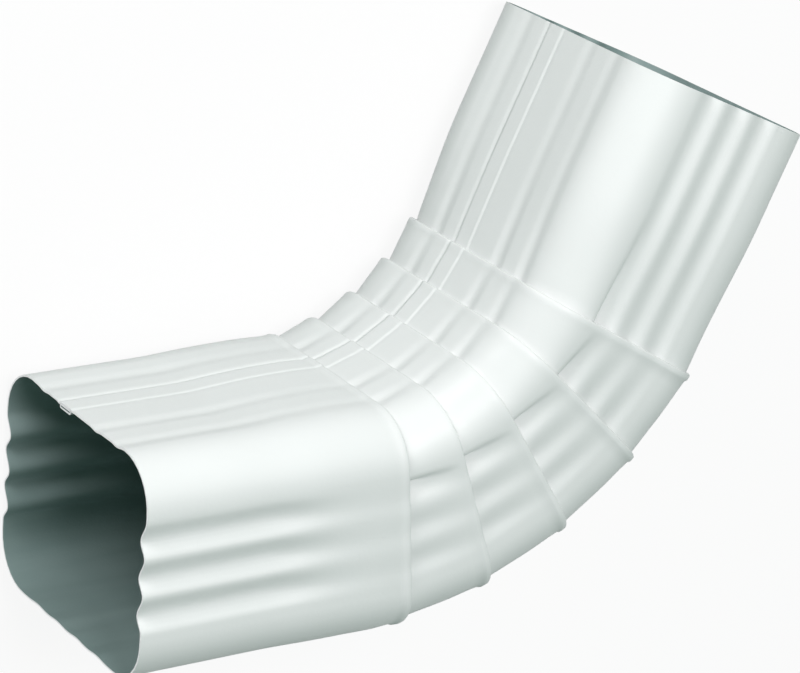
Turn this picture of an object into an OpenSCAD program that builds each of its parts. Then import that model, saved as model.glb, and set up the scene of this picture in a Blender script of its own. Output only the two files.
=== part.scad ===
// Downspout elbow, turned on the wide face of a corrugated rectangular pipe.
// One tube of painted aluminium sheet, closed by a lock seam along its throat
// and turned by pleats: at each pleat the sheet doubles back on itself, so
// that the tube above it seats inside the rim of the tube below.
//
// X runs up the outlet leg from its mouth, Y points to the throat, and Z is
// across the wide faces. The elbow lies on its side, with the bend level.

/* [Section] */
// Width across the wide faces, outside
width = 82.5; // [70:0.5:110]
// Depth from the heel face to the throat face, outside
depth = 66; // [54:0.5:80]
// Radius of the four corners
corner_r = 14; // [9:0.5:18]
// Thickness of the sheet
sheet = 0.5; // [0.4:0.05:0.7]
// How far the throat face is dished on a leg
leg_dish = 0.6; // [0:0.1:1.5]

/* [Legs] */
// Length of the outlet leg on its middle line, mouth to first rim
outlet_leg = 84.5; // [60:0.5:140]
// Length of the inlet leg on its middle line, last rim to end
inlet_leg = 73.5; // [56:0.5:140]
// Length of leg over which the flutes fade out to a rim
outlet_fade = 40; // [30:1:50]
// Length of leg over which a neck opens to the section of the inlet leg
inlet_fade = 42; // [30:1:50]
// How far the inlet leg stands out from the plain section, at the throat
inlet_rise = 1; // [0:0.1:2]

/* [Pleats] */
// Number of pleats round the bend
pleats = 5; // [3:1:7]
// Turn made by each pleat, in degrees
pleat_turn = 13.3; // [9:0.1:15]
// Length of a ring on its middle line, rim to rim
ring_length = 22; // [19:0.5:30]
// Length that is folded under a rim at the throat
throat_fold = 8.5; // [5:0.5:10]
// Length that is folded under a rim at the heel
heel_fold = 2; // [1.5:0.5:5]
// Clear gap between two layers of a fold
fold_gap = 0.15; // [0.1:0.05:0.3]
// How far a rim stands out from the plain section at the throat
rim_rise = 1; // [0.9:0.1:2]
// How far a neck is drawn in from the plain section at the throat
neck_draw = 1.2; // [0.8:0.1:2]
// Share of that rise and draw that is left at the heel
heel_share = 0.6; // [0.5:0.05:1]
// How far the throat face is crowned at a neck, up to the folded rim
neck_crown = 0.8; // [0:0.1:1.5]
// Length of the rolled bead along a rim
bead = 0.9; // [0.6:0.1:1.4]

/* [Flutes] */
// Number of flutes on each narrow face
flutes = 3; // [2:1:4]
// Flat stretch between the flutes and the throat corner
flute_top = 3; // [1:0.1:6]
// Flat stretch between the flutes and the heel corner
flute_bottom = 4.8; // [1:0.1:8]
// Depth of a flute on the plain section
flute_depth = 2.2; // [1:0.1:3]
// Depth of a flute at a neck
flute_neck = 2.4; // [2:0.1:4.5]
// Depth of the pinch at a neck, over the flute next to the throat
pinch = 1.5; // [0:0.1:2]
// Number of waves on the heel face
heel_waves = 4; // [2:1:5]
// Flat stretch between the waves and each heel corner
wave_margin = 5.2; // [2:0.1:8]
// Depth of the grooves and waves on the wide faces, plain section
groove_depth = 0.4; // [0.2:0.1:1.6]
// Depth of the grooves and waves at a neck
groove_neck = 1.6; // [1:0.1:3]
// Width of a groove on the throat face
groove_w = 7; // [5:0.5:7.5]
// Middle of the far groove, from the far corner
far_groove = 7.2; // [4:0.1:9]
// Middle of the outer near groove, from the near corner
near_groove = 4.5; // [3.5:0.1:6]
// Spacing of the two near grooves
groove_pitch = 12; // [8:0.5:13]
// Depth that is left of every flute and groove at a rim
rim_left = 0.3; // [0:0.1:0.8]

/* [Lock seam] */
// Middle of the seam, from mid width towards the near side
seam_middle = -7; // [-8:0.1:-3]
// Width of the seam
seam_w = 7.5; // [5:0.5:8]
// Width of the slope on each side of an edge of the seam
seam_slope = 0.6; // [0.4:0.1:1]
// How far the seam stands out of the throat face
seam_rise = 0.35; // [0.2:0.05:0.8]
// Depth of the crease along each edge of the seam
seam_crease = 0.5; // [0.2:0.05:0.8]
// How far the folded seam stands into the duct in a leg
seam_pack = 1.5; // [1:0.1:2]

/* [Hidden] */
corner_steps = 5;
// The dish stays flat across the throat and falls off at its corners
dish_power = 4;
// Pitch from layer to layer through a fold
layer = sheet + fold_gap;
half_w = width / 2;
half_d = depth / 2;
// Half of the straight stretch of a wide and of a narrow face
flat_w = half_w - corner_r;
flat_d = half_d - corner_r;
// Grooves on the throat face, from mid width towards the near side
outer_groove = flat_w - near_groove;
throat_grooves = [far_groove - flat_w, outer_groove - groove_pitch, outer_groove];
// How far a rolled bead swells from its sheet
bead_swell = bead / 6;
half_turn = pleat_turn / 2;
// A rim plane is cut askew to both tubes that meet in it
askew = 1 / cos(half_turn);

// States of the section, from its plain envelope: rise, depth of the
// flutes, depth of the grooves, dish of the throat face, and pinch
PLAIN = [0, flute_depth, groove_depth, leg_dish, 0];
RIM = [rim_rise, rim_left, rim_left, 0, 0];
NECK = [-neck_draw, flute_neck, groove_neck, -neck_crown, pinch];
INLET = PLAIN + [inlet_rise, 0, 0, 0, 0];

function mix(a, b, f) = a + (b - a) * f;
function smooth(f) = let (c = max(0, min(1, f))) c * c * (3 - 2 * c);

// One outline point: place, outward normal, weight of the rise, flute,
// groove, dish, seam, pack and pinch
function outline_point(at, normal, flute = 0, groove = 0, dish = 0, seam = 0, pack = 0, pinched = 0) =
    let (rise = mix(heel_share, 1, at.y / depth + 0.5))
    [at, normal, rise, flute, groove, dish, seam, pack, pinched];

function dish_at(v) = 1 - pow(abs(v) / flat_w, dish_power);

// One groove or flute: flat top, slope, flat bottom and slope again take a
// quarter of its pitch each, so that it spans three quarters
BENDS = [[-3 / 8, 0], [-1 / 8, 1], [1 / 8, 1], [3 / 8, 0]];
flute_span = 3 / 4;

// Pitch at which a number of flutes fills a stretch
function pitch_in(stretch, number) = stretch / (number - 1 + flute_span);

function throat_point(v, groove = 0, seam = 0, pack = 0) =
    outline_point([v, half_d], [0, 1], 0, groove, dish_at(v), seam, pack);

function throat_groove(v) = [
    for (b = BENDS) throat_point(v + b[0] * groove_w, groove = b[1])
];

// The lock seam: a crease, the raised strip of folded layers, and a crease
// half as deep
function lock_seam() =
    let (far = seam_middle - seam_w / 2, near = seam_middle + seam_w / 2)
    [
        throat_point(far - seam_slope),
        throat_point(far, seam = -seam_crease),
        throat_point(far + seam_slope, seam = seam_rise, pack = 1),
        throat_point(near - seam_slope, seam = seam_rise, pack = 1),
        throat_point(near, seam = -seam_crease / 2),
        throat_point(near + seam_slope)
    ];

// The flutes of a narrow face: side 1 is the near face, which runs down
// from throat to heel, and side -1 the far face, which runs up. The pinch is
// at the upper end of the highest flute's bottom.
function narrow_face(side) =
    let (
        pitch = pitch_in(2 * flat_d - flute_top - flute_bottom, flutes),
        top = flat_d - flute_top - flute_span / 2 * pitch,
        bottom = flute_span / 2 * pitch + flute_bottom - flat_d,
        first = side > 0 ? top : bottom
    )
    [
        for (i = [0:flutes - 1], b = BENDS)
            let (
                w = first - side * (i + b[0]) * pitch,
                pinched = b[1] == 1 && w > top ? 1 : 0
            )
            outline_point([side * half_w, w], [side, 0], flute = b[1], pinched = pinched)
    ];

function heel_face() =
    let (pitch = pitch_in(2 * (flat_w - wave_margin), heel_waves))
    [
        for (i = [0:heel_waves - 1], b = BENDS)
            let (v = ((heel_waves - 1) / 2 - i - b[0]) * pitch)
            outline_point([v, -half_d], [0, -1], groove = b[1])
    ];

// A corner, as an arc that turns clockwise from the angle given
function corner(side_v, side_w, from) = [
    for (i = [0:corner_steps])
        let (a = from - i * 90 / corner_steps, out = [cos(a), sin(a)])
        outline_point([side_v * flat_w, side_w * flat_d] + corner_r * out, out)
];

OUTLINE = concat(
    throat_groove(throat_grooves[0]),
    lock_seam(),
    throat_groove(throat_grooves[1]),
    throat_groove(throat_grooves[2]),
    corner(1, 1, 90),
    narrow_face(1),
    corner(1, -1, 0),
    heel_face(),
    corner(-1, -1, -90),
    narrow_face(-1),
    corner(-1, 1, 180)
);
N = len(OUTLINE);

// Distance of the sheet's middle from the envelope at one outline point
function level(p, state) =
    p[2] * state[0] - p[3] * state[1] - p[4] * state[2] - p[5] * state[3] + p[6] - p[8] * state[4];

// A plane of the bend is its middle, its angle, its stretch across, and how
// far up the elbow it lies
function along(angle) = [cos(angle), sin(angle)];
function across(angle) = [-sin(angle), cos(angle)];

// Middle of rim i, reached ring by ring from the outlet leg
function rim_middle(i) =
    i == 0 ? [outlet_leg, 0] : rim_middle(i - 1) + ring_length * along(i * pleat_turn);
function rim_reach(i) = outlet_leg + i * ring_length;
function rim_plane(i, shift = 0) =
    let (angle = (i + 0.5) * pleat_turn)
    [rim_middle(i) + shift * along(angle), angle, askew, rim_reach(i) + shift];

// The plane in which the fold under rim i ends, deep at the throat
function fold_plane(i, shift = 0) =
    let (
        rim = rim_plane(i),
        up = across(rim[1]) * half_d * askew,
        back = along(i * pleat_turn),
        throat = rim[0] + up - throat_fold * back,
        heel = rim[0] - up - heel_fold * back,
        span = throat - heel,
        angle = atan2(span.y, span.x) - 90,
        reach = rim_reach(i) - (throat_fold + heel_fold) / 2
    )
    [(throat + heel) / 2 + shift * along(angle), angle, norm(span) / depth, reach + shift];

function outlet_plane(x) = [[x, 0], 0, 1, x];
function inlet_plane(x) =
    let (angle = pleats * pleat_turn)
    [rim_middle(pleats - 1) + x * along(angle), angle, 1, rim_reach(pleats - 1) + x];

// Length of fold and length of ring at an outline point
function fold_length(p) = mix(heel_fold, throat_fold, p[0].y / depth + 0.5);
function ring_at(p) = ring_length - 2 * p[0].y * tan(half_turn);

// Level of the outer layer where the fold under rim i ends
function outer_level(p, i) =
    i == 0
    ? level(p, mix(RIM, PLAIN, smooth(fold_length(p) / outlet_fade)))
    : level(p, mix(RIM, NECK, fold_length(p) / ring_at(p)));
function inner_level(p, i) = min(level(p, NECK), outer_level(p, i) - 2 * layer);

// A neck stays clear of the folded rim that it comes out of
function neck_level(p) = min(level(p, NECK), level(p, RIM) - 2 * layer);

// One row: how far up it lies, and the outline at its levels in its plane
function row(plane, levels) = [
    plane[3],
    [
        for (k = [0:N - 1])
            let (
                p = OUTLINE[k],
                at = p[0] + levels[k] * p[1],
                flat = plane[0] + at.y * plane[2] * across(plane[1])
            )
            [flat.x, flat.y, at.x]
    ]
];

// Levels of a leg, by how far each point is from its rim plane
function outlet_levels(x) = [
    for (p = OUTLINE)
        let (far = outlet_leg - x - p[0].y * tan(half_turn))
        level(p, mix(RIM, PLAIN, smooth(far / outlet_fade)))
];
function inlet_levels(x) = [
    for (p = OUTLINE)
        let (far = x + p[0].y * tan(half_turn))
        level(p, mix(NECK, INLET, smooth(far / inlet_fade)))
];

// Levels put out to one skin of the sheet, side 1 outside and -1 inside
function skin(levels, side, pack = 0) = [
    for (k = [0:N - 1]) levels[k] + side * sheet / 2 - pack * OUTLINE[k][7]
];
function outlet_row(x, side) =
    row(outlet_plane(x), skin(outlet_levels(x), side, side < 0 ? seam_pack : 0));
function inlet_row(x, side) =
    row(inlet_plane(x), skin(inlet_levels(x), side, side < 0 ? seam_pack : 0));

function shifted(levels, by) = [for (l = levels) l + by];
RIM_LEVELS = [for (p = OUTLINE) level(p, RIM)];
NECK_LEVELS = [for (p = OUTLINE) neck_level(p)];
function outer_levels(i) = [for (p = OUTLINE) outer_level(p, i)];
function inner_levels(i) = [for (p = OUTLINE) inner_level(p, i)];

// The painted skin through pleat i, from the outlet upwards: wall, bead
// over the rim, back down the middle layer, round, and out by the neck
function outer_skin(i) = [
    row(fold_plane(i), skin(outer_levels(i), 1)),
    row(rim_plane(i, -bead), shifted(RIM_LEVELS, sheet / 2 + bead_swell)),
    row(rim_plane(i), shifted(RIM_LEVELS, -layer / 2)),
    row(rim_plane(i, -bead), shifted(RIM_LEVELS, -layer - sheet / 2)),
    row(fold_plane(i, sheet), shifted(outer_levels(i), -layer - sheet / 2)),
    row(fold_plane(i, sheet), shifted(inner_levels(i), sheet / 2)),
    row(rim_plane(i, sheet), skin(NECK_LEVELS, 1))
];

// The inner skin through pleat i: wall, up into the rim, down the middle
// layer, round the inner lip, and out by the neck, where the folded seam is
// pressed to half its height
function inner_skin(i) = [
    row(fold_plane(i), skin(outer_levels(i), -1)),
    row(rim_plane(i, -sheet), shifted(RIM_LEVELS, -layer / 2)),
    row(fold_plane(i), shifted(outer_levels(i), -layer + sheet / 2)),
    row(fold_plane(i), skin(inner_levels(i), -1, seam_pack / 2)),
    row(rim_plane(i, sheet), skin(NECK_LEVELS, -1, seam_pack / 2))
];

// Stations on the legs where the section changes
OUTLET_STATIONS = [
    0,
    outlet_leg - outlet_fade - half_d * tan(half_turn),
    outlet_leg - outlet_fade / 2
];
INLET_STATIONS = [inlet_fade / 2, inlet_fade + half_d * tan(half_turn), inlet_leg];

function skin_rows(side) = concat(
    [for (x = OUTLET_STATIONS) outlet_row(x, side)],
    [for (i = [0:pleats - 1], r = side > 0 ? outer_skin(i) : inner_skin(i)) r],
    [for (x = INLET_STATIONS) inlet_row(x, side)]
);

// Closes two skins into one solid sheet, edge to edge at both ends. A warped
// quad is split from its lower to its upper row in every layer, up or down,
// so that the sheet keeps its thickness and its layers stay clear.
module folded_tube(outside, inside) {
    rows = concat(outside, [for (i = [len(inside) - 1:-1:0]) inside[i]]);
    count = len(rows);
    points = [for (r = rows, p = r[1]) p];
    faces = [
        for (r = [0:count - 1], k = [0:N - 1])
            let (
                a = r * N + k,
                b = r * N + (k + 1) % N,
                next = (r + 1) % count,
                c = next * N + (k + 1) % N,
                d = next * N + k,
                upward = rows[next][0] > rows[r][0]
            )
            each upward ? [[a, c, b], [a, d, c]] : [[a, d, b], [b, d, c]]
    ];
    polyhedron(points, faces, convexity = 12);
}

module elbow() {
    color("whitesmoke")
        folded_tube(skin_rows(1), skin_rows(-1));
}

elbow();
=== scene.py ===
# %% [markdown]
# # A pleated downspout elbow in Blender
# The real elbow is one tube of painted aluminium sheet, half a millimetre thick. It is rolled
# to a fluted rectangle, locked along one seam, and turned by pleats in which the sheet doubles
# back on itself. This lesson makes it in the same order: a plain straight pipe is drawn with
# Blender's own operators, every ring of it is seated in its pleat, and modifiers give the sheet
# its thickness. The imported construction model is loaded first, because the finished sheet takes
# the place of its node and has to stay inside its box.

import math

import bmesh
import bpy
from mathutils import Matrix, Vector, noise


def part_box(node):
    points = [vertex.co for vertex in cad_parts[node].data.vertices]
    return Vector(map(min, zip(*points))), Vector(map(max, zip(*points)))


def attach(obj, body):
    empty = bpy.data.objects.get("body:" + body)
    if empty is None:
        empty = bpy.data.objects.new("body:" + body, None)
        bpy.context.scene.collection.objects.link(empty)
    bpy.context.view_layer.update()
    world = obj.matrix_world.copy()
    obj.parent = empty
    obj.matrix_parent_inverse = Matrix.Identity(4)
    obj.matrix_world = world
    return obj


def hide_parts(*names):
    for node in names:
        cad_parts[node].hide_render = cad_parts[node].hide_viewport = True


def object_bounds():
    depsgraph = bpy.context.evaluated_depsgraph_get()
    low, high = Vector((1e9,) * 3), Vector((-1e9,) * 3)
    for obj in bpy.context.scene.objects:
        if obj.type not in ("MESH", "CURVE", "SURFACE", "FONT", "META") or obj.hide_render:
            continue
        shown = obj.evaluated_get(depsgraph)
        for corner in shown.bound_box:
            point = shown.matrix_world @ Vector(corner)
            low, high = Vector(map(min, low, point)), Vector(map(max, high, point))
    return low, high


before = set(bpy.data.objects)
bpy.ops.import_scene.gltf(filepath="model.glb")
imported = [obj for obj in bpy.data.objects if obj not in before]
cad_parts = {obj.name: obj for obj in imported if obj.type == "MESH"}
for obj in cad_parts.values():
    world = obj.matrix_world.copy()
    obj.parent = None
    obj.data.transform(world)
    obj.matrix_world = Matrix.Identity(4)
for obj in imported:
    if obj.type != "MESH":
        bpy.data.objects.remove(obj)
cad_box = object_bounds()
elbow_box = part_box("elbow")
print("packed elbow from", [round(v, 4) for v in elbow_box[0]], "to", [round(v, 4) for v in elbow_box[1]])

# %% [markdown]
# ## The sizes
# Blender works in metres and sheet metal in millimetres, so each size is written in millimetres
# and multiplied once. X runs up the outlet leg, Y points to the throat, and Z is across the wide
# faces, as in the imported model. The section is a rectangle with round corners, and the bend is a
# row of short straight rings, each turned against the last by the same angle.

# %% Sizes of the tube, its legs and its bend
MM = 0.001
WIDTH = 82.5 * MM
DEPTH = 66 * MM
CORNER = 14 * MM
SHEET = 0.5 * MM
HALF_W = WIDTH / 2
HALF_D = DEPTH / 2
FLAT_W = HALF_W - CORNER
FLAT_D = HALF_D - CORNER
OUTLET_LEG = 84.5 * MM
INLET_LEG = 73.5 * MM
PLEATS = 5
TURN = math.radians(13.3)
SLANT = math.tan(TURN / 2)
RING = 22 * MM
print("a bend of", round(math.degrees(PLEATS * TURN), 1), "degrees in", PLEATS, "pleats")

# %% Sizes of the flutes, the waves and the grooves
# The valley of an end flute lies this share of a pitch inside the fluted stretch.
END_SHARE = 3 / 8
FLUTES = 3
FLUTE_TOP = 3 * MM
FLUTE_BOTTOM = 4.8 * MM
FLUTE_PITCH = (2 * FLAT_D - FLUTE_TOP - FLUTE_BOTTOM) / (FLUTES - 1 + 2 * END_SHARE)
FLUTE_PLACES = [FLAT_D - FLUTE_TOP - (i + END_SHARE) * FLUTE_PITCH for i in range(FLUTES)]
WAVES = 4
WAVE_MARGIN = 5.2 * MM
WAVE_PITCH = 2 * (FLAT_W - WAVE_MARGIN) / (WAVES - 1 + 2 * END_SHARE)
WAVE_PLACES = [((WAVES - 1) / 2 - i) * WAVE_PITCH for i in range(WAVES)]
GROOVE_WIDTH = 7 * MM
GROOVE_PITCH = 12 * MM
FAR_GROOVE = 7.2 * MM - FLAT_W
NEAR_GROOVE = FLAT_W - 4.5 * MM
GROOVE_PLACES = [FAR_GROOVE, NEAR_GROOVE - GROOVE_PITCH, NEAR_GROOVE]
print("flutes at", [round(place / MM, 1) for place in FLUTE_PLACES], "mm from mid depth")

# %% Sizes of the lock seam
SEAM_PLACE = -7 * MM
SEAM_WIDTH = 7.5 * MM
SEAM_FAR = SEAM_PLACE - SEAM_WIDTH / 2
SEAM_NEAR = SEAM_PLACE + SEAM_WIDTH / 2
SEAM_SLOPE = 0.9 * MM
SEAM_RISE = 0.18 * MM
CREASE_WIDTH = 3 * SEAM_SLOPE
FAR_CREASE = 0.35 * MM
NEAR_CREASE = 0.2 * FAR_CREASE
print("lock seam from", round(SEAM_FAR / MM, 2), "to", round(SEAM_NEAR / MM, 2), "mm across the throat")


# %% [markdown]
# ## The section as fields
# A flute, a groove and a dish are all the same thing: the sheet stands lower than its plain
# envelope. Each could be a curve of its own, but they change depth along the tube. So every point
# of the section gets a few weights from 0 to 1, one for each of these forms, and a state of the
# section says how deep each form is there. A leg, a rim and a neck are states, and everything
# between them is a mix.

# %% Curves that the forms share
def mix(a, b, share):
    return a + (b - a) * share


def ease(share):
    """A share from 0 to 1 that starts and ends softly."""
    share = max(0.0, min(1.0, share))
    return share * share * (3 - 2 * share)


def bump(offset, pitch):
    """A rounded hollow, 1 in its middle and 0 half a pitch away."""
    if abs(offset) >= pitch / 2:
        return 0.0
    return 0.5 + 0.5 * math.cos(2 * math.pi * offset / pitch)


# %% The forms of the rolls and of the pleating machine
FLUTE_SKEW = 0.08
PINCH_TOP = FLAT_D - 3.6 * MM
PINCH_DROP = 1.2 * MM
PINCH_FADE = 6.5 * MM


def flute_share(offset):
    """A pressed flute: its upper side is longer than its lower side."""
    from_valley = offset / FLUTE_PITCH + FLUTE_SKEW
    side = 0.5 + FLUTE_SKEW if from_valley > 0 else 0.5 - FLUTE_SKEW
    return 0.5 + 0.5 * math.cos(math.pi * min(1.0, abs(from_valley) / side))


def pinch_share(y):
    """The sharp crease above the first flute: a steep upper side and a long lower one."""
    down = PINCH_TOP - y
    return ease(down / PINCH_DROP) * (1 - ease((down - PINCH_DROP) / PINCH_FADE))


def seam_level(z):
    """The raised strip of the lock seam, creased deeper along its far edge than its near one."""
    from_far = z - SEAM_FAR
    from_near = SEAM_NEAR - z
    rise = SEAM_RISE * ease(min(from_far, from_near) / SEAM_SLOPE)
    crease = FAR_CREASE * bump(from_far, CREASE_WIDTH) + NEAR_CREASE * bump(from_near, CREASE_WIDTH)
    return rise - crease


print("seam stands", round(seam_level(SEAM_PLACE) / MM, 2), "mm proud of the throat")


# %% Weights at one point of the section
FACING = 0.99
DISH_POWER = 4
HEEL_SHARE = 0.6
# The bead and its foot at the throat and at the heel, where the folded sheet is rounder.
BEAD_SWELL = (0.08 * MM, 0.15 * MM)
BEAD_FOOT = (0.06 * MM, 0.5 * MM)


class Point:
    """One point of the plain section: its place, its outward normal and its weights."""

    def __init__(self, y, z):
        self.y = y
        self.z = z
        beyond = Vector((max(-FLAT_D, min(FLAT_D, y)), max(-FLAT_W, min(FLAT_W, z))))
        normal = (Vector((y, z)) - beyond).normalized()
        self.normal_y, self.normal_z = normal
        on_side = abs(self.normal_z) > FACING
        on_throat = self.normal_y > FACING
        on_heel = self.normal_y < -FACING
        self.flute = sum(flute_share(y - place) for place in FLUTE_PLACES) if on_side else 0.0
        self.pinch = pinch_share(y) if on_side else 0.0
        self.wave = sum(bump(z - place, WAVE_PITCH) for place in WAVE_PLACES) if on_heel else 0.0
        self.groove = sum(bump(z - place, GROOVE_WIDTH) for place in GROOVE_PLACES) if on_throat else 0.0
        self.dish = max(0.0, 1 - (abs(z) / FLAT_W) ** DISH_POWER) if on_throat else 0.0
        self.seam = seam_level(z) if on_throat else 0.0
        self.corner = ease(2 * self.normal_y * self.normal_z) if y > 0 and z > 0 else 0.0
        to_throat = y / DEPTH + 0.5
        to_heel = (1 - to_throat) ** 2
        self.rise = mix(HEEL_SHARE, 1.0, to_throat)
        self.swell = mix(*BEAD_SWELL, to_heel)
        self.foot = mix(*BEAD_FOOT, to_heel)


print("a rim at the heel stands out", Point(-HALF_D, 0).rise, "times as far as at the throat")


# %% States of the section and the level between them
class State:
    """How far the sheet stands out, and how deep its forms are, at one station."""

    def __init__(self, rise, flute, groove, dish, pinch=0.0):
        self.forms = (rise, flute, groove, dish, pinch)

    def mixed(self, other, share):
        return State(*(mix(a, b, share) for a, b in zip(self.forms, other.forms)))

    def level(self, point):
        """The height of the sheet over the plain envelope at a point."""
        rise, flute, groove, dish, pinch = self.forms
        hollow = flute * point.flute + groove * (point.groove + point.wave) + dish * point.dish
        hollow += pinch * point.pinch
        return rise * point.rise - hollow + point.seam


PLAIN = State(rise=0, flute=2.5 * MM, groove=0.4 * MM, dish=0.6 * MM)
INLET = State(rise=1.0 * MM, flute=1.5 * MM, groove=0.3 * MM, dish=0.6 * MM)
RIM = State(rise=0.95 * MM, flute=0.2 * MM, groove=0.2 * MM, dish=0)
NECK = State(rise=-1.2 * MM, flute=1.1 * MM, groove=0.7 * MM, dish=-0.8 * MM, pinch=2.4 * MM)
depths = [round(state.forms[1] / MM, 1) for state in (PLAIN, INLET, NECK)]
print("depth of a flute on the outlet leg, on the inlet leg and at a neck:", depths, "mm")


# %% [markdown]
# ## The planes of the bend
# Each rim lies in a plane that halves the turn between two rings. Under it the fold ends in a
# second plane, deep at the throat and shallow at the heel, which is what turns the tube. A plane
# also knows how to seat a point of the section, so the section never has to be moved about as an
# object. Thin sheet is never quite even, and a slow noise presses it in by a tenth of a millimetre.

# %% A plane across the tube
WOBBLE = 0.16 * MM
WOBBLE_PITCH = 22 * MM


class Plane:
    """A cut across the tube: its middle, its angle, and its stretch from throat to heel."""

    def __init__(self, middle, angle, stretch=1.0):
        self.middle = Vector(middle)
        self.along = Vector((math.cos(angle), math.sin(angle)))
        self.across = Vector((-math.sin(angle), math.cos(angle)))
        self.angle = angle
        self.stretch = stretch

    def shifted(self, step):
        return Plane(self.middle + step * self.along, self.angle, self.stretch)

    def place(self, point, level):
        flat = self.middle + (point.y + level * point.normal_y) * self.stretch * self.across
        return Vector((flat.x, flat.y, point.z + level * point.normal_z))

    def seat(self, point, level):
        """The place at a level, pressed in a little, and unevenly, as thin sheet is."""
        uneven = 0.5 - 0.5 * noise.noise(self.place(point, level) / WOBBLE_PITCH)
        return self.place(point, level - WOBBLE * uneven)


# %% The planes of the rims and of the folds under them
THROAT_FOLD = 8.5 * MM
HEEL_FOLD = 2 * MM


def ring_direction(ring):
    return Vector((math.cos(ring * TURN), math.sin(ring * TURN)))


def rim_plane(pleat):
    middle = Vector((OUTLET_LEG, 0))
    for ring in range(1, pleat + 1):
        middle += RING * ring_direction(ring)
    return Plane(middle, (pleat + 0.5) * TURN, 1 / math.cos(TURN / 2))


def fold_plane(pleat):
    rim = rim_plane(pleat)
    half = HALF_D * rim.stretch * rim.across
    back = ring_direction(pleat)
    throat = rim.middle + half - THROAT_FOLD * back
    heel = rim.middle - half - HEEL_FOLD * back
    span = throat - heel
    angle = math.atan2(span.y, span.x) - math.pi / 2
    return Plane((throat + heel) / 2, angle, span.length / DEPTH)


RIMS = [rim_plane(pleat) for pleat in range(PLEATS)]
FOLDS = [fold_plane(pleat) for pleat in range(PLEATS)]
print("last rim at", [round(v, 4) for v in RIMS[-1].middle])


# %% [markdown]
# ## The route of the sheet
# A station is one ring of points across the sheet, and the stations follow the sheet as a finger
# would: up the outlet leg, up each ring to its rim, over the bead, back down inside, round the
# inner lip, and up through the rim as the next neck. A loft between a few drawn sections would
# cut the folds short. So each station is a function that seats one point of the section, and the
# whole route is a list of functions.

# %% Levels of the legs, the necks and the folded layers
OUTLET_FADE = 46 * MM
FADE_POWER = 2.2
INLET_FADE = 42 * MM
FOLD_GAP = 0.15 * MM
LAYER = SHEET + FOLD_GAP
CORNER_GAP = 0.8 * MM


def outlet_level(point, to_rim):
    """The flutes stop well before the rim, where the rolls have let go of them."""
    return RIM.mixed(PLAIN, ease((max(0.0, to_rim) / OUTLET_FADE) ** FADE_POWER)).level(point)


def neck_level(point):
    """A neck stays clear of the folded rim that it comes out of, most of all at one throat corner."""
    return min(NECK.level(point), RIM.level(point) - 2 * LAYER) - CORNER_GAP * point.corner


def fold_length(point):
    return mix(HEEL_FOLD, THROAT_FOLD, point.y / DEPTH + 0.5)


def ring_length(point):
    return RING - 2 * point.y * SLANT


def outer_level(point, pleat):
    """Level of the outer wall where the fold under its rim ends."""
    if pleat == 0:
        return outlet_level(point, fold_length(point))
    return RIM.mixed(NECK, fold_length(point) / ring_length(point)).level(point)


def inner_level(point, pleat):
    return min(neck_level(point), outer_level(point, pleat) - 2 * LAYER)


# %% Stations along the legs
def outlet_station(x):
    plane = Plane((x, 0), 0)

    def seat(point, out=0.0):
        to_rim = OUTLET_LEG - x - point.y * SLANT
        return plane.seat(point, outlet_level(point, to_rim) + out)
    return seat


def inlet_station(x):
    plane = Plane(RIMS[-1].middle + x * ring_direction(PLEATS), PLEATS * TURN)

    def seat(point, out=0.0):
        from_rim = x + point.y * SLANT
        level = mix(neck_level(point), INLET.level(point), ease(from_rim / INLET_FADE))
        return plane.seat(point, level + out)
    return seat


# %% Stations on the wall and on the rolled rim of a pleat
BEAD = 1.1 * MM
WALL_RUN = 12 * MM
OUTLET_END = Plane((OUTLET_LEG - HALF_D * SLANT - WALL_RUN, 0), 0)


def wall_station(pleat, share):
    """The wall from one neck to the next rim's bead, share from 0 to 1."""
    start = OUTLET_END if pleat == 0 else RIMS[pleat - 1].shifted(SHEET)
    end = RIMS[pleat].shifted(-2 * BEAD)

    def seat(point):
        if pleat == 0:
            to_rim = OUTLET_LEG - OUTLET_END.middle.x - point.y * SLANT
            level = outlet_level(point, (1 - share) * to_rim)
        else:
            level = mix(neck_level(point), RIM.level(point), share)
        level -= point.foot * ease(2 * share - 1)
        return start.seat(point, level).lerp(end.seat(point, level), share)
    return seat


def rim_station(pleat, along, out, swell):
    """A place on the rolled rim, from the rim's plane and from its level."""
    plane = RIMS[pleat].shifted(along)
    return lambda point: plane.seat(point, RIM.level(point) + out + swell * point.swell)


# %% Stations on the folded layers inside a pleat
LIP_REACH = 0.6 * LAYER


def layer_station(pleat, share, inner):
    """A place on a folded layer, share 0 at the rim and 1 where the fold ends."""
    rim = RIMS[pleat].shifted(SHEET if inner else -BEAD)
    fold = FOLDS[pleat].shifted(SHEET)

    def seat(point):
        if inner:
            level = mix(neck_level(point), inner_level(point, pleat), share)
        else:
            level = mix(RIM.level(point), outer_level(point, pleat), share) - LAYER
        return rim.seat(point, level).lerp(fold.seat(point, level), share)
    return seat


def lip_station(pleat, share):
    """A place on the hairpin at the end of the fold, share 0 at the middle layer."""
    half_turn = math.pi * share
    fold = FOLDS[pleat].shifted(SHEET - LIP_REACH * math.sin(half_turn))

    def seat(point):
        across = (1 - math.cos(half_turn)) / 2
        level = mix(outer_level(point, pleat) - LAYER, inner_level(point, pleat), across)
        return fold.seat(point, level)
    return seat


# %% The stations of one pleat in their order
WALL_STEPS = 8
LAYER_STEPS = 4
TURN_STEPS = 6


def steps(count, first=0, last=1):
    """Values from first to last in equal steps, both ends included."""
    return [first + (last - first) * i / count for i in range(count + 1)]


def crown_station(pleat, share):
    """A place on the half circle over the rim, share 0 on the outer side."""
    half_turn = math.pi * share
    along = LAYER / 2 * math.sin(half_turn) - LAYER / 2
    out = LAYER / 2 * math.cos(half_turn) - LAYER / 2
    return rim_station(pleat, along, out, swell=1 - share)


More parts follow.
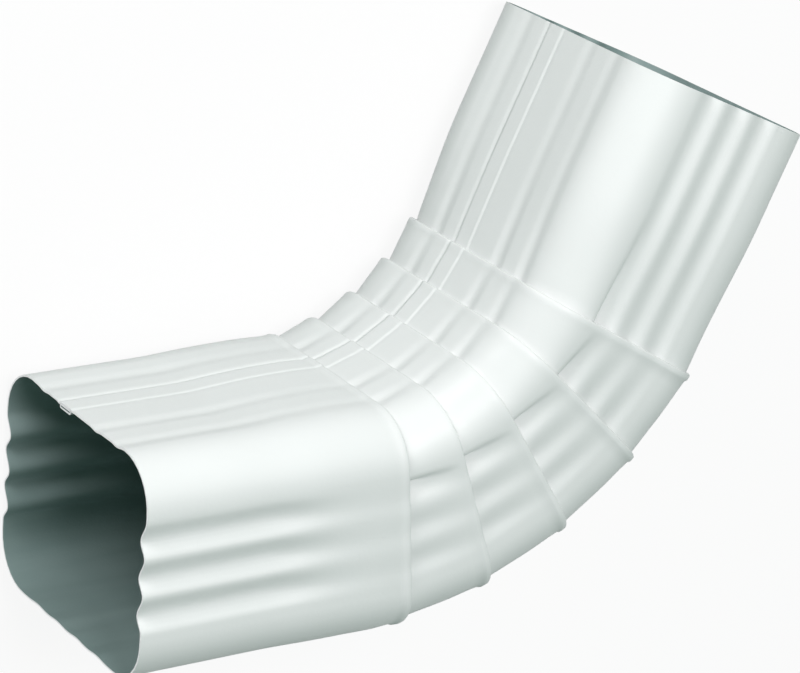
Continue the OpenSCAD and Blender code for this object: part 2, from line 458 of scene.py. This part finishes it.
def pleat_stations(pleat):
    wall = [wall_station(pleat, share) for share in steps(WALL_STEPS)]
    bead = [rim_station(pleat, along=-1.5 * BEAD, out=0, swell=0.5)]
    bead.append(rim_station(pleat, along=-BEAD, out=0, swell=1))
    crown = [crown_station(pleat, share) for share in steps(TURN_STEPS)]
    middle = [layer_station(pleat, share, inner=False) for share in steps(LAYER_STEPS)]
    lip = [lip_station(pleat, share) for share in steps(TURN_STEPS)][1:-1]
    neck = [layer_station(pleat, share, inner=True) for share in steps(LAYER_STEPS, 1, 0)]
    if pleat < PLEATS - 1:
        # The next wall starts at the same place.
        neck.pop()
    return wall + bead + crown + middle + lip + neck


print("stations in the first pleat:", len(pleat_stations(0)))

# %% The whole route
# The mouth is cut back a hair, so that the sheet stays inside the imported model's box.
CUT_BACK = 0.02 * MM
LEG_STEP = 3.5 * MM
NECK_RUN = 3 * MM
outlet_length = OUTLET_END.middle.x
inlet_start = HALF_D * SLANT + NECK_RUN
outlet_steps = round(outlet_length / LEG_STEP)
inlet_steps = round((INLET_LEG - inlet_start) / LEG_STEP)
OUTLET_STATIONS = [outlet_station(x) for x in steps(outlet_steps, CUT_BACK, outlet_length)][:-1]
INLET_STATIONS = [inlet_station(x) for x in steps(inlet_steps, inlet_start, INLET_LEG)]
STATIONS = list(OUTLET_STATIONS)
for pleat in range(PLEATS):
    STATIONS += pleat_stations(pleat)
STATIONS += INLET_STATIONS
print("stations along the sheet:", len(STATIONS))


# %% [markdown]
# ## The straight pipe
# A plane is the start: its corners are bevelled to the bend radius, its face is removed, and the
# straight edges are subdivided finely enough to take the flutes. Extruding that outline once for
# each station gives a straight pipe, the form that the real tube has before it meets the
# pleating machine.

# %% Helpers for edit mode
def select_only(thing):
    bpy.ops.object.select_all(action="DESELECT")
    thing.select_set(True)
    bpy.context.view_layer.objects.active = thing


def select_edges(thing, wanted):
    """Selects, in edit mode, the edges whose two ends the test accepts."""
    bpy.ops.mesh.select_mode(type="EDGE")
    bpy.ops.mesh.select_all(action="DESELECT")
    mesh = bmesh.from_edit_mesh(thing.data)
    for edge in mesh.edges:
        if wanted(edge.verts[0].co, edge.verts[1].co):
            edge.select = True
    mesh.select_flush_mode()
    bmesh.update_edit_mesh(thing.data)


# %% Helpers that draw a straight pipe
PITCH = 1 * MM


def rounded_outline(name, depth, width, corner, corner_steps):
    """A rounded rectangle of edges across X, left in edit mode."""
    bpy.ops.object.select_all(action="DESELECT")
    bpy.ops.mesh.primitive_plane_add(size=1, rotation=(0, math.pi / 2, 0))
    thing = bpy.context.object
    thing.name = name
    thing.scale = (width, depth, 1)
    bpy.ops.object.transform_apply(rotation=True, scale=True)
    bpy.ops.object.mode_set(mode="EDIT")
    bpy.ops.mesh.select_all(action="SELECT")
    bpy.ops.mesh.bevel(offset=corner, segments=corner_steps, affect="VERTICES")
    bpy.ops.mesh.select_all(action="SELECT")
    bpy.ops.mesh.delete(type="ONLY_FACE")
    return thing


def extrude_pipe(stations):
    """Extrudes the outline in edit mode once for each station but the first."""
    bpy.ops.mesh.select_all(action="SELECT")
    for station in stations[1:]:
        bpy.ops.mesh.extrude_edges_move(TRANSFORM_OT_translate={"value": (PITCH, 0, 0)})
    bpy.ops.mesh.select_all(action="SELECT")
    bpy.ops.mesh.normals_make_consistent(inside=False)
    bpy.ops.object.mode_set(mode="OBJECT")


# %% Which edges are on a wide face, on a narrow side and beside the seam
TOLERANCE = 0.001 * MM
STRAIGHT_SIDE = 10 * MM


def on_wide_face(a, b):
    return abs(a.y - b.y) < TOLERANCE


def on_narrow_side(a, b):
    return abs(a.z - b.z) < TOLERANCE and abs(a.y - b.y) > STRAIGHT_SIDE


def beside_seam(edge_of_seam):
    """A test for the throat's edges that the crease at one edge of the seam runs through."""
    def near(a, b):
        return a.y > 0 and b.y > 0 and abs((a.z + b.z) / 2 - edge_of_seam) < CREASE_WIDTH / 2
    return near


# %% Draw the section and extrude the straight pipe
CORNER_STEPS = 8
WIDE_CUTS = 59
NARROW_CUTS = 37
SEAM_CUTS = 2

elbow = rounded_outline("elbow_sheet", DEPTH, WIDTH, CORNER, CORNER_STEPS)
select_edges(elbow, on_wide_face)
bpy.ops.mesh.subdivide(number_cuts=WIDE_CUTS)
select_edges(elbow, on_narrow_side)
bpy.ops.mesh.subdivide(number_cuts=NARROW_CUTS)
for edge_of_seam in (SEAM_FAR, SEAM_NEAR):
    select_edges(elbow, beside_seam(edge_of_seam))
    bpy.ops.mesh.subdivide(number_cuts=SEAM_CUTS)
extrude_pipe(STATIONS)
around = len(elbow.data.vertices) // len(STATIONS)
print("straight pipe:", around, "points around and", len(elbow.data.polygons), "faces")

# %% [markdown]
# ## Pleating
# Every point of the straight pipe knows its station from its X and its place on the section
# from its Y and Z. The station's function seats it in the elbow. That is far quicker than turning
# and scaling the rings one by one with operators, and the mesh stays as even as it was drawn.

# %% Seat every ring of the pipe
def seat_pipe(thing, stations, seat_point):
    """Moves every vertex of a straight pipe to where its station puts it."""
    for vertex in thing.data.vertices:
        station = stations[round(vertex.co.x / PITCH)]
        vertex.co = seat_point(station, vertex.co.y, vertex.co.z)
    thing.data.update()
    bpy.context.view_layer.update()


# The weights of a point are the same at every station, so each is worked out once.
points = {}
DIGITS = 6


def seat_section(station, y, z):
    key = (round(y, DIGITS), round(z, DIGITS))
    if key not in points:
        points[key] = Point(y, z)
    return station(points[key])


seat_pipe(elbow, STATIONS, seat_section)
print("pleated elbow:", [round(v, 4) for v in elbow.dimensions])

# %% [markdown]
# ## The folded seam
# The two edges of the sheet are hooked together and pressed. Outside, that is the low strip along
# the throat. Inside each leg the folded layers stand off the wall, and their raw ends show at the
# mouth. They are a flat hairpin of sheet, seated by the same stations as the wall above them, so
# they follow it in and out. Inside the bend the pleats hide them, so only the legs have them.

# %% Seat a hairpin under the seam of each leg
FOLD_WIDTH = 6.3 * MM
FOLD_DEPTH = 1.4 * MM
FOLD_CORNER = 0.45 * FOLD_DEPTH
FOLD_CORNER_STEPS = 3
FOLD_CLEAR = 0.6 * SHEET


def seat_fold(station, y, z):
    """Seats a point of the hairpin under the raised strip, clear of the wall's inner face."""
    point = Point(HALF_D, SEAM_PLACE + z)
    point.seam = SEAM_RISE
    return station(point, y - FOLD_DEPTH / 2 - FOLD_CLEAR)


folds = []
for name, stations in (("outlet_seam_fold", OUTLET_STATIONS), ("inlet_seam_fold", INLET_STATIONS)):
    fold = rounded_outline(name, FOLD_DEPTH, FOLD_WIDTH, FOLD_CORNER, FOLD_CORNER_STEPS)
    extrude_pipe(stations)
    seat_pipe(fold, stations, seat_fold)
    folds.append(fold)
print("folded seam:", [fold.name for fold in folds])

# %% [markdown]
# ## One sheet, three surfaces
# The elbow so far is a surface through the middle of the sheet. Solidify gives it the thickness
# and can hand each side its own material: white paint outside, grey primer inside, and bare
# aluminium where the sheet was cut at the two ends. Modelling both skins would take twice the
# stations and could leave the sheet uneven in the folds.

# %% Give the sheet its thickness
SMOOTH_ANGLE = math.radians(50)
MATERIALS = [bpy.data.materials.new(name) for name in ("white_paint", "grey_primer", "cut_edge")]


def apply_modifier(thing, kind, name, **settings):
    select_only(thing)
    modifier = thing.modifiers.new(name, kind)
    for key, value in settings.items():
        setattr(modifier, key, value)
    bpy.ops.object.modifier_apply(modifier=name)


def thicken(thing, offset):
    """Paint outside, primer inside and bare metal at the ends."""
    for material in MATERIALS:
        thing.data.materials.append(material)
    apply_modifier(
        thing, "SOLIDIFY", "sheet_thickness",
        thickness=SHEET, offset=offset, use_even_offset=True, material_offset=1, material_offset_rim=2,
    )
    bpy.ops.object.shade_smooth_by_angle(angle=SMOOTH_ANGLE)


thicken(elbow, 0)
for fold in folds:
    thicken(fold, -1)
print("solid sheet:", sum(len(face.vertices) - 2 for face in elbow.data.polygons), "triangles")


# %% [markdown]
# ## Materials
# A shader is easier to read as an expression than as a picture of nodes. A small class wraps a
# socket, so that sums and products of sockets add Math nodes by themselves. All patterns are
# made in the shader from the Object coordinates, so no picture has to be loaded or unwrapped.

# %% A socket in an expression
class Value:
    """A socket that can be added and multiplied."""

    def __init__(self, shader, socket):
        self.shader = shader
        self.socket = socket

    def maths(self, operation, first, second):
        return self.shader.node("ShaderNodeMath", {"operation": operation}, {0: first, 1: second})

    def __add__(self, other):
        return self.maths("ADD", self, other)

    def __radd__(self, other):
        return self.maths("ADD", other, self)

    def __mul__(self, other):
        return self.maths("MULTIPLY", self, other)

    def __rmul__(self, other):
        return self.maths("MULTIPLY", other, self)


# %% The nodes of one material
class Shader:
    """The nodes of one material, with its Principled shader."""

    def __init__(self, name):
        self.material = bpy.data.materials[name]
        self.material.use_nodes = True
        self.tree = self.material.node_tree
        self.surface = self.tree.nodes["Principled BSDF"]
        self.body = Value(self, self.surface.outputs["BSDF"])
        self.place = self.node("ShaderNodeTexCoord", {}, {}, output="Object")

    def feed(self, socket, value):
        if isinstance(value, Value):
            self.tree.links.new(value.socket, socket)
        else:
            socket.default_value = value

    def node(self, kind, settings, inputs, output=0):
        """Adds a node: first its settings, then the values and links of its inputs."""
        made = self.tree.nodes.new(kind)
        for key, value in settings.items():
            setattr(made, key, value)
        for key, value in inputs.items():
            self.feed(made.inputs[key], value)
        return Value(self, made.outputs[output])

    def noise(self, scale, stretch=(1, 1, 1), detail=2.0):
        """A cloudy pattern. Its scale is the number of clouds in a metre."""
        placed = self.node("ShaderNodeMapping", {}, {"Vector": self.place, "Scale": stretch})
        return self.node("ShaderNodeTexNoise", {}, {"Vector": placed, "Scale": scale, "Detail": detail})

    def blend(self, share, first, second):
        """A mix of two colours, whose sockets are 0, 6 and 7 of a Mix node."""
        sockets = {0: share, 6: first, 7: second}
        return self.node("ShaderNodeMix", {"data_type": "RGBA"}, sockets, output=2)

    def bumped(self, height, distance):
        return self.node("ShaderNodeBump", {}, {"Height": height, "Distance": distance, "Strength": 1.0})

    def set(self, **sockets):
        """Sets sockets of the Principled shader, with a low line for each space in a name."""
        for key, value in sockets.items():
            self.feed(self.surface.inputs[key.replace("_", " ")], value)

    def finish(self, made):
        """Puts another shader than the Principled one on the surface."""
        self.feed(self.tree.nodes["Material Output"].inputs["Surface"], made)


# %% [markdown]
# ### White paint
# The coil is painted before it is rolled, so the coat is even and follows every fold. It is a
# satin white with a very fine orange peel, and it is a touch duller in some places than in
# others. Both are too small for the mesh, so the peel is a bump on the normal and the rest is a
# slow noise in the colour and the roughness.

# %% White paint
PAINT_CLOUDS = 38.0
ORANGE_PEEL = 900.0
PEEL_HEIGHT = 0.02 * MM
PAINT_DULL = (0.785, 0.81, 0.802, 1)
PAINT_CLEAN = (0.815, 0.836, 0.83, 1)

paint = Shader("white_paint")
cloud = paint.noise(PAINT_CLOUDS)
peel = paint.noise(ORANGE_PEEL)
paint.set(
    Base_Color=paint.blend(cloud, PAINT_DULL, PAINT_CLEAN),
    Roughness=0.42 + 0.08 * cloud,
    Normal=paint.bumped(peel, PEEL_HEIGHT),
    Specular_IOR_Level=0.3,
    Coat_Weight=0.04,
)
print("white paint:", len(paint.tree.nodes), "nodes")

# %% [markdown]
# ### Grey primer
# The inside of the coil only gets a thin grey-green wash. The rolls draw it out into faint
# streaks along the leg, so a second noise is stretched along X, and half of each noise goes
# into the colour.

# %% Grey primer
PRIMER_CLOUDS = 30.0
PRIMER_STREAKS = 160.0
STREAK_DETAIL = 4.0
PRIMER_GRAIN = 1400.0
PRIMER_DARK = (0.16, 0.24, 0.23, 1)
PRIMER_PALE = (0.31, 0.40, 0.39, 1)
ALONG_LEG = (0.06, 1, 1)

primer = Shader("grey_primer")
cloud = primer.noise(PRIMER_CLOUDS)
streak = primer.noise(PRIMER_STREAKS, ALONG_LEG, STREAK_DETAIL)
grain = primer.noise(PRIMER_GRAIN)
primer.set(
    Base_Color=primer.blend(0.5 * cloud + 0.5 * streak, PRIMER_DARK, PRIMER_PALE),
    Roughness=0.34 + 0.12 * cloud,
    Normal=primer.bumped(grain, PEEL_HEIGHT),
)
print("grey primer:", len(primer.tree.nodes), "nodes")

# %% [markdown]
# ### Cut edge
# The tube is cut to length after it is painted, so the two ends are bare metal with a fine
# grain. On an edge half a millimetre wide, a noise in the colour and the roughness is enough.

# %% Cut edge
METAL_GRAIN = 2500.0
METAL_DARK = (0.62, 0.64, 0.64, 1)
METAL_BRIGHT = (0.82, 0.84, 0.84, 1)

edge = Shader("cut_edge")
grain = edge.noise(METAL_GRAIN)
edge.set(
    Base_Color=edge.blend(grain, METAL_DARK, METAL_BRIGHT),
    Metallic=1.0,
    Roughness=0.35 + 0.15 * grain,
)
print("materials:", [slot.material.name for slot in elbow.material_slots])

# %% [markdown]
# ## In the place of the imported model
# The sheet and the folded seam are one real piece. All three meshes ride on the part's one body,
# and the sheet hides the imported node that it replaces.

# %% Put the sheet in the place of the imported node
for piece in [elbow] + folds:
    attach(piece, "root")
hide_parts("elbow")
print("pieces on the root:", [piece.name for piece in [elbow] + folds])

# %% [markdown]
# ## The floor
# The elbow lies on white paper. A floor that is simply white throws its light back at the shaded
# sides, and lamps strong enough to make it look white would burn out the paint. So the paper
# shows nearly white to the camera and in reflections, mostly by a glow of its own, and is a dark
# green-grey to the light that it sends on. The small share without glow keeps the shadow.

# %% Floor
FLOOR_SIZE = 8
FLOOR_MIDDLE = (0.1, 0.05)
FLOOR_GREY = (0.12, 0.17, 0.15, 1)
FLOOR_WHITE = (0.92, 0.92, 0.92, 1)
FLOOR_GLOW = 0.9
WHITE_GLOW = 1.0

bpy.ops.object.select_all(action="DESELECT")
bpy.ops.mesh.primitive_plane_add(size=FLOOR_SIZE, location=(*FLOOR_MIDDLE, cad_box[0][2]))
floor = bpy.context.object
floor.name = "floor"
bpy.ops.object.transform_apply(location=True)
floor.data.materials.append(bpy.data.materials.new("floor_white"))

paper = Shader("floor_white")
camera_ray, glossy_ray, transmission_ray = (
    paper.node("ShaderNodeLightPath", {}, {}, output=ray)
    for ray in ("Is Camera Ray", "Is Glossy Ray", "Is Transmission Ray")
)
seen = camera_ray + glossy_ray + transmission_ray
paper.set(Base_Color=paper.blend(seen, FLOOR_GREY, FLOOR_WHITE), Roughness=0.9)
glow = paper.node("ShaderNodeEmission", {}, {"Strength": WHITE_GLOW})
paper.finish(paper.node("ShaderNodeMixShader", {}, {0: FLOOR_GLOW * seen, 1: paper.body, 2: glow}))
print("floor at", round(cad_box[0][2], 4), "m, under the narrow side")

# %% [markdown]
# ## The light
# A lamp high in front is the main light on the throat and the narrow side. A second one stands
# low, off the mouth and the throat, and draws the light bands inside the mouth. A weak world
# fills the shade, slightly green, because the shaded paint of the real elbow looks so. Two lamps
# are enough, since more of them would wash out the flutes.

# %% World and lamps
LAMP_TINT = (1.0, 0.95, 0.97)
LAMP_SIZE = 0.6
SHADE_TINT = (0.70, 1.0, 0.88, 1)
SHADE_LEVEL = 0.24
AIM = Vector((0.1, 0.04, 0))

world = bpy.data.worlds.new("studio")
bpy.context.scene.world = world
world.use_nodes = True
background = world.node_tree.nodes["Background"]
background.inputs["Color"].default_value = SHADE_TINT
background.inputs["Strength"].default_value = SHADE_LEVEL


def lamp(name, place, power):
    """A round lamp that looks at the middle of the elbow."""
    bpy.ops.object.light_add(type="AREA", location=place)
    light = bpy.context.object
    light.name = name
    light.data.shape = "DISK"
    light.data.size = LAMP_SIZE
    light.data.energy = power
    light.data.color = LAMP_TINT
    light.rotation_euler = (AIM - Vector(place)).to_track_quat("-Z", "Y").to_euler()


lamp("front_light", place=(0.0, 0.5, 1.05), power=9.0)
lamp("throat_light", place=(-0.5, 0.9, 0.1), power=7.7)

# %% [markdown]
# ## The camera
# The camera stands where the photograph's camera stood, which was worked out from the places of
# the rims, the mouth and the outline. It could be aimed at a point, but then its roll would
# be lost. So its three axes are worked out from its azimuth, its elevation and its roll, and
# become the columns of its rotation.

# %% Camera
PICTURE_PIXELS = 800
FOCAL_PIXELS = 3442.7
LENS_SHARE = FOCAL_PIXELS / PICTURE_PIXELS
SENSOR = 36
FAR_CLIP = 20
CAMERA_PLACE = (-0.4169, 0.3942, 0.7641)
AZIMUTH = math.radians(-34.278)
ELEVATION = math.radians(20.907)
ROLL = math.radians(4.832)

bpy.ops.object.camera_add(location=CAMERA_PLACE)
camera = bpy.context.object
camera.data.sensor_width = SENSOR
camera.data.lens = SENSOR * LENS_SHARE
camera.data.clip_end = FAR_CLIP
back = Vector((
    math.sin(AZIMUTH) * math.cos(ELEVATION),
    math.sin(ELEVATION),
    math.cos(AZIMUTH) * math.cos(ELEVATION),
))
level_right = Vector((math.cos(AZIMUTH), 0, -math.sin(AZIMUTH)))
level_up = back.cross(level_right)
right = math.cos(ROLL) * level_right + math.sin(ROLL) * level_up
up = math.cos(ROLL) * level_up - math.sin(ROLL) * level_right
camera.rotation_euler = Matrix((right, up, back)).transposed().to_euler()
bpy.context.scene.camera = camera
bpy.context.scene.view_settings.view_transform = "Standard"
print("lens:", round(camera.data.lens, 1), "mm on a sensor", SENSOR, "mm wide")
